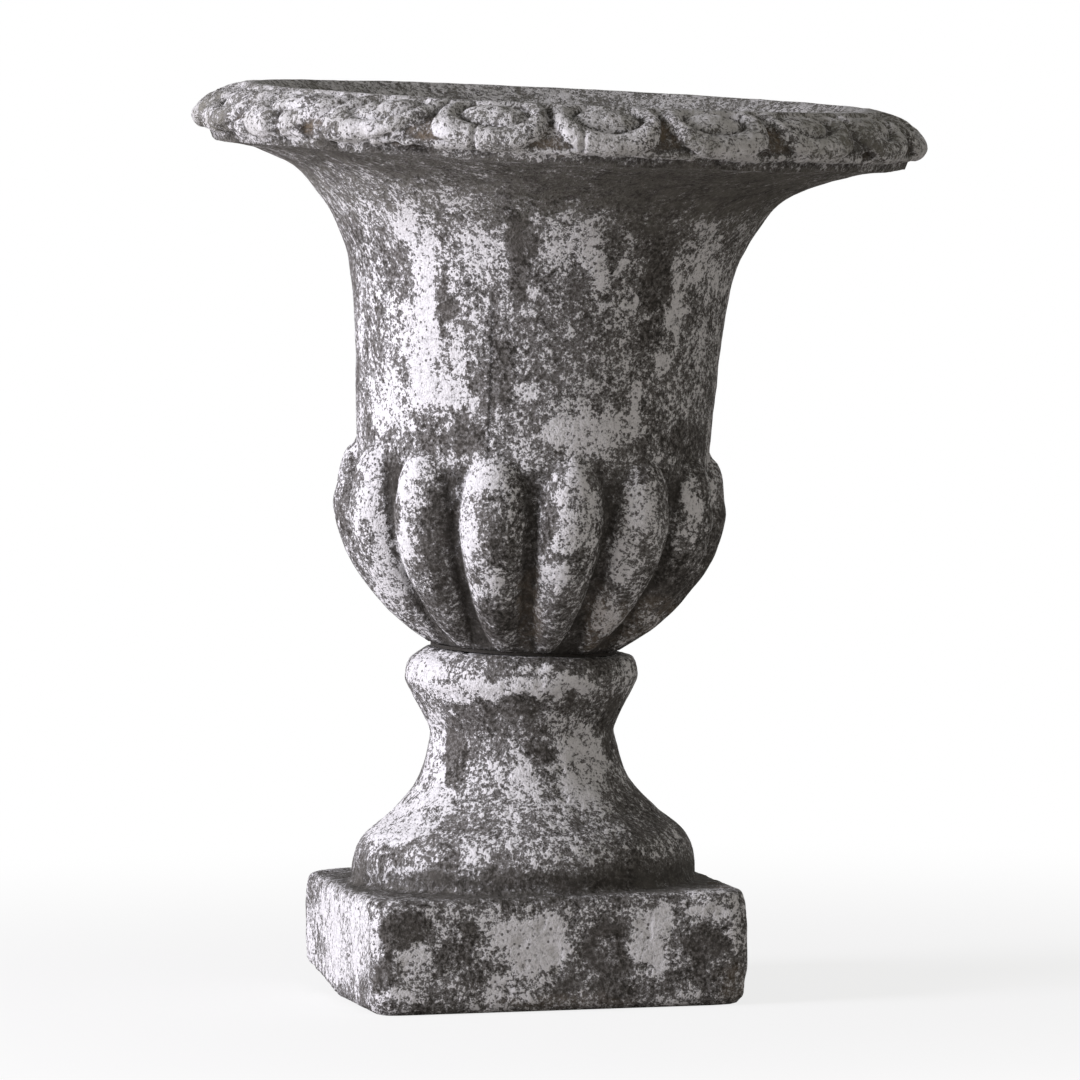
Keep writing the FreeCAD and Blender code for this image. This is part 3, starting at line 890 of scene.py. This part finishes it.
class Wire:
    """A node's output, on which Python's arithmetic adds Math nodes to its finish."""

    def __init__(self, finish, socket):
        self.finish = finish
        self.socket = socket

    def sum_of(self, operation, first, second):
        return self.finish.node("ShaderNodeMath", {"operation": operation}, {0: first, 1: second})

    def __add__(self, other):
        return self.sum_of("ADD", self, other)

    def __sub__(self, other):
        return self.sum_of("SUBTRACT", self, other)

    def __rsub__(self, other):
        return self.sum_of("SUBTRACT", other, self)

    def __mul__(self, other):
        return self.sum_of("MULTIPLY", self, other)

    __radd__ = __add__
    __rmul__ = __mul__

    def most(self, other):
        return self.sum_of("MAXIMUM", self, other)

    def size(self):
        return self.finish.node("ShaderNodeMath", {"operation": "ABSOLUTE"}, {0: self})

    def rise(self, low, high):
        """0 up to low, 1 from high, and smooth between."""
        return self.finish.node(
            "ShaderNodeMapRange", {"interpolation_type": "SMOOTHSTEP"},
            {"Value": self, "From Min": low, "From Max": high})


class Finish:
    """A procedural material that is built node by node."""

    def __init__(self, name):
        self.material = bpy.data.materials.new(name)
        self.material.use_nodes = True
        self.tree = self.material.node_tree
        self.tree.nodes.clear()
        self.place = self.node("ShaderNodeTexCoord", {}, {}, "Object")

    def node(self, kind, settings, sockets, output=0):
        """One node: its settings, then values or links for its sockets. Returns an output."""
        made = self.tree.nodes.new(kind)
        for name, value in settings.items():
            setattr(made, name, value)
        for name, value in sockets.items():
            if isinstance(value, Wire):
                self.tree.links.new(value.socket, made.inputs[name])
            elif value is not None:
                made.inputs[name].default_value = value
        return Wire(self, made.outputs[output]) if made.outputs else None

    def reading(self, name):
        """A value painted on the piece's vertices."""
        return self.node("ShaderNodeAttribute", {"attribute_name": name}, {}, "Fac")

    def stretched(self, scale):
        """The piece's own coordinates, drawn out along one axis."""
        return self.node("ShaderNodeMapping", {}, {"Vector": self.place, "Scale": scale})

    def along(self, direction):
        """How far each place lies along a direction, in metres."""
        return self.node(
            "ShaderNodeVectorMath", {"operation": "DOT_PRODUCT"},
            {0: self.place, 1: direction}, "Value")

    def grain(self, size, detail=3.0, roughness=0.6, where=None):
        """Noise about zero, with lumps of a size in metres."""
        made = self.node(
            "ShaderNodeTexNoise", {"noise_dimensions": "3D"},
            {"Vector": where or self.place, "Scale": 1 / size, "Detail": detail,
             "Roughness": roughness})
        return made - 0.5

    def cells(self, size, feature="F1"):
        """Distance to the nearest of many points scattered about a size apart."""
        return self.node(
            "ShaderNodeTexVoronoi", {"feature": feature},
            {"Vector": self.place, "Scale": 1 / size}, "Distance")

    def mix(self, share, first, second):
        """A colour between two, or a second colour laid over a first."""
        colours = [
            value if isinstance(value, Wire) else (*value, 1.0) for value in (first, second)]
        return self.node(
            "ShaderNodeMix", {"data_type": "RGBA"},
            {0: share, 6: colours[0], 7: colours[1]}, 2)

    def surface(self, colour, roughness, height, distance, metallic=0.0, specular=0.25):
        """The shader, with its relief, wired to the material's output."""
        normal = self.node(
            "ShaderNodeBump", {}, {"Strength": 1.0, "Distance": distance, "Height": height})
        shader = self.node(
            "ShaderNodeBsdfPrincipled", {},
            {"Base Color": colour, "Roughness": roughness, "Metallic": metallic,
             "Specular IOR Level": specular, "Normal": normal})
        self.node("ShaderNodeOutputMaterial", {}, {"Surface": shader})
        return self.material


def limewashed_stone(name, colours, seam=None):
    """Dark cast stone under the flaking remains of a white limewash, with painted shade in its
    hollows and corners.
    """
    finish = Finish(name)
    cover, shade_and_dirt, stain = (finish.reading(word) for word in ("cover", "shade_and_dirt", "stain"))
    drawn = finish.stretched((1.0, 1.0, 0.45))
    drifts = finish.grain(0.016, 4.0, 0.6, drawn)
    flakes = finish.grain(0.0062, 5.0, 0.65)
    flecks = finish.grain(0.0026, 3.0, 0.65)
    specks = finish.grain(0.0011, 1.0)
    hairlines = 1 - finish.grain(0.0038, 2.0).size().rise(0.0, 0.035)
    amount = 0.5 * cover - 0.25 + 0.75 * drifts + 0.95 * flakes + 1.35 * flecks + 0.60 * specks
    amount = amount - 0.10 * hairlines
    pits = (1 - finish.cells(0.0042).rise(0.12, 0.26)) * flakes.rise(-0.06, 0.05)
    thick = amount.rise(-0.05, 0.10) * (1 - pits)
    thin = amount.rise(-0.36, 0.02)
    bare = finish.mix(flecks.rise(-0.14, 0.14), colours.stone_deep, colours.stone)
    bare = finish.mix(0.6 * finish.grain(0.030).rise(-0.10, 0.15), bare, colours.stone)
    hazed = finish.mix(0.68 * thin, bare, colours.haze)
    chalk = finish.mix(
        (flakes + flecks + specks).rise(-0.22, 0.10), [0.75 * c for c in colours.limewash],
        colours.limewash)
    washed = finish.mix(thick, hazed, chalk)
    ochre = stain.most(0.0) * finish.grain(0.008, 4.0).rise(-0.22, 0.10)
    olive = (0.0 - stain).most(0.0) * finish.grain(0.010, 4.0).rise(-0.22, 0.10)
    tinted = finish.mix(0.75 * ochre, washed, colours.ochre)
    tinted = finish.mix(0.75 * olive, tinted, colours.lichen)
    # Painted shade: the vertices' darkening of hollows and corners mixes the colour towards deep
    # stone
    shade_and_grime = shade_and_dirt * finish.grain(0.009, 4.0).rise(-0.30, 0.12)
    shaded_and_dirty = finish.mix(0.72 * shade_and_grime, tinted, colours.stone_deep)
    height = 0.50 * thick + 0.7 * flakes + 1.1 * flecks + 0.35 * specks - 0.6 * pits
    if seam:
        across, offset, low, high = seam
        level = finish.along(UP)
        line = 1 - (finish.along(across) - offset + 0.004 * specks).size().rise(0.0002, 0.0009)
        line = line * level.rise(low, low + 0.01) * (1 - level.rise(high - 0.03, high))
        shaded_and_dirty = finish.mix(0.70 * line, shaded_and_dirty, colours.stone_deep)
        height = height - 0.9 * line
    roughness = 0.93 - 0.10 * thick
    return finish.surface(shaded_and_dirty, roughness, height, 0.0012)


def galvanised_steel(colours):
    """Dull zinc-coated steel with a faint spangle and a little rust."""
    finish = Finish("galvanised_steel_worn")
    spangle = finish.cells(0.0035)
    rusty = finish.grain(0.006, 4.0).rise(0.04, 0.16)
    dull = finish.mix(spangle.rise(0.1, 0.9), colours.steel, [0.8 * c for c in colours.steel])
    colour = finish.mix(rusty, dull, colours.rust)
    roughness = 0.42 + 0.15 * spangle + 0.30 * rusty
    return finish.surface(colour, roughness, finish.grain(0.0009), 0.0002, 1 - rusty, 0.5)


def dark_mortar(colours):
    """Gritty mortar, dark with age."""
    finish = Finish("dark_mortar")
    grit = finish.grain(0.0015, 3.0)
    colour = finish.mix(grit.rise(-0.2, 0.2), colours.stone_deep, colours.mortar)
    return finish.surface(colour, 0.95 + 0.04 * grit, grit, 0.0006)


# Operators


# Each lamp's place, size and colour
KEY_LAMP = ((-2.75, -0.42, 1.05), 1.3, (0.935, 0.915, 1.0))
FILL_LAMP = ((1.9, -2.6, 1.1), 2.0, (1.0, 0.95, 0.87))
SKY_COLOUR = (1.0, 0.955, 0.885, 1.0)
FLOOR_COLOUR, FLOOR_SEEN = (0.56, 0.54, 0.51), (0.95, 0.95, 0.95)


class URN_OT_build_stage(bpy.types.Operator):
    """Sets the camera, the lamps, the sky and the floor"""

    bl_idname = "urn.build_stage"
    bl_label = "Build stage"

    def execute(self, context):
        scene, stage = context.scene, context.scene.urn_stage
        camera = bpy.data.objects.new("camera", bpy.data.cameras.new("camera"))
        camera.matrix_world = camera_matrix(stage)
        camera.data.sensor_width = SENSOR
        camera.data.lens = stage.lens
        camera.data.shift_x, camera.data.shift_y = stage.shift
        camera.data.clip_end = 100.0
        scene.collection.objects.link(camera)
        scene.camera = camera
        self.add_lamp("key_lamp", stage.key_power, *KEY_LAMP)
        self.add_lamp("fill_lamp", stage.fill_power, *FILL_LAMP)
        self.set_sky(scene, stage)
        self.add_floor()
        scene.view_settings.view_transform = "Standard"
        return {"FINISHED"}

    def add_lamp(self, name, power, place, size, tint):
        """A square lamp that faces the middle of the urn."""
        light = bpy.data.lights.new(name, "AREA")
        light.size = size
        light.energy = power
        light.color = tint
        lamp = bpy.data.objects.new(name, light)
        lamp.location = place
        middle = Vector((0, 0, 0.30))
        lamp.rotation_euler = (middle - lamp.location).to_track_quat("-Z", "Y").to_euler()
        bpy.context.scene.collection.objects.link(lamp)

    def set_sky(self, scene, stage):
        """An even sky, white where the camera or a reflection sees it."""
        world = bpy.data.worlds.new("sky")
        scene.world = world
        world.use_nodes = True
        nodes, links = world.node_tree.nodes, world.node_tree.links
        nodes.clear()
        rays = nodes.new("ShaderNodeLightPath")
        seen = nodes.new("ShaderNodeMath")
        seen.operation = "MAXIMUM"
        links.new(rays.outputs["Is Camera Ray"], seen.inputs[0])
        links.new(rays.outputs["Is Glossy Ray"], seen.inputs[1])
        lit = nodes.new("ShaderNodeBackground")
        lit.inputs["Strength"].default_value = stage.sky
        lit.inputs["Color"].default_value = SKY_COLOUR
        white = nodes.new("ShaderNodeBackground")
        white.inputs["Color"].default_value = (1, 1, 1, 1)
        mixed = nodes.new("ShaderNodeMixShader")
        links.new(seen.outputs[0], mixed.inputs[0])
        links.new(lit.outputs[0], mixed.inputs[1])
        links.new(white.outputs[0], mixed.inputs[2])
        output = nodes.new("ShaderNodeOutputWorld")
        links.new(mixed.outputs[0], output.inputs["Surface"])

    def add_floor(self):
        """A wide pale floor that keeps a soft shadow and fades to white."""
        bm = bmesh.new()
        bmesh.ops.create_grid(bm, x_segments=1, y_segments=1, size=30.0)
        floor = new_object("floor", finish_mesh("floor", bm))
        finish = Finish("pale_floor")
        rays = finish.node("ShaderNodeLightPath", {}, {}, "Is Camera Ray")
        away = finish.node("ShaderNodeVectorMath", {"operation": "LENGTH"}, {0: finish.place}, 1)
        white = 0.80 + 0.20 * away.rise(0.25, 1.10)
        matt = finish.node(
            "ShaderNodeBsdfDiffuse", {}, {"Color": finish.mix(rays, FLOOR_COLOUR, FLOOR_SEEN)})
        glow = finish.node("ShaderNodeEmission", {}, {"Color": (1, 1, 1, 1), "Strength": 1.0})
        both = finish.node("ShaderNodeMixShader", {}, {0: white * rays, 1: matt, 2: glow})
        finish.node("ShaderNodeOutputMaterial", {}, {"Surface": both})
        floor.data.materials.append(finish.material)


class URN_OT_build_foot(bpy.types.Operator):
    """Builds the foot and plinth in one casting"""

    bl_idname = "urn.build_foot"
    bl_label = "Build foot"

    def execute(self, context):
        scene = context.scene
        mesh = foot_mesh(scene.urn_sizes, PhotoView(scene.urn_stage))
        foot = new_object("pedestal_foot_worn", mesh)
        mesh.materials.append(limewashed_stone("foot_stone_worn", scene.urn_finish))
        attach(foot, ROOT)
        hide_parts("pedestal_foot")
        return {"FINISHED"}


class URN_OT_build_bowl(bpy.types.Operator):
    """Builds the bowl with its lobes and carved rim in one casting"""

    bl_idname = "urn.build_bowl"
    bl_label = "Build bowl"

    def execute(self, context):
        scene = context.scene
        mesh = bowl_mesh(scene.urn_sizes, PhotoView(scene.urn_stage))
        bowl = new_object("urn_bowl_carved", mesh)
        mesh.materials.append(
            limewashed_stone("bowl_stone_worn", scene.urn_finish, mould_seam(scene.urn_sizes)))
        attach(bowl, ROOT)
        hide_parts("urn_bowl")
        return {"FINISHED"}


class URN_OT_finish_fittings(bpy.types.Operator):
    """Gives the mortar bed and the steel fittings their finishes"""

    bl_idname = "urn.finish_fittings"
    bl_label = "Finish fittings"

    def execute(self, context):
        colours = context.scene.urn_finish
        steel, mortar = galvanised_steel(colours), dark_mortar(colours)
        for name in ("tie_rod", "bowl_strap", "bowl_washer", "bowl_nut", "foot_strap",
                     "foot_washer", "foot_nut"):
            self.coat(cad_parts[name], steel)
        self.coat(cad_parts["bed_joint"], mortar)
        return {"FINISHED"}

    def coat(self, thing, material):
        """Puts one material in every slot of an object."""
        if not thing.material_slots:
            raise RuntimeError(thing.name + " has no material slot")
        for slot in thing.material_slots:
            slot.material = material


class URN_PT_panel(bpy.types.Panel):
    """Lists the urn's steps, sizes and colours"""

    bl_idname = "URN_PT_panel"
    bl_label = "Garden urn"
    bl_space_type = "VIEW_3D"
    bl_region_type = "UI"
    bl_category = "Urn"

    def draw(self, context):
        layout, scene = self.layout, context.scene
        for step in STEPS:
            layout.operator(step.bl_idname)
        for group in (scene.urn_sizes, scene.urn_finish, scene.urn_stage):
            box = layout.box()
            for name in group.__annotations__:
                box.prop(group, name)


STEPS = (
    URN_OT_build_stage, URN_OT_build_foot, URN_OT_build_bowl, URN_OT_finish_fittings)
GROUPS = (UrnSizes, UrnFinish, UrnStage)


def register():
    for kind in (*GROUPS, *STEPS, URN_PT_panel):
        bpy.utils.register_class(kind)
    bpy.types.Scene.urn_sizes = PointerProperty(type=UrnSizes)
    bpy.types.Scene.urn_finish = PointerProperty(type=UrnFinish)
    bpy.types.Scene.urn_stage = PointerProperty(type=UrnStage)


def unregister():
    del bpy.types.Scene.urn_sizes
    del bpy.types.Scene.urn_finish
    del bpy.types.Scene.urn_stage
    for kind in reversed((*GROUPS, *STEPS, URN_PT_panel)):
        bpy.utils.unregister_class(kind)


def main():
    register()
    bpy.ops.urn.build_stage()
    bpy.ops.urn.build_foot()
    bpy.ops.urn.build_bowl()
    bpy.ops.urn.finish_fittings()


if __name__ == "__main__":
    main()
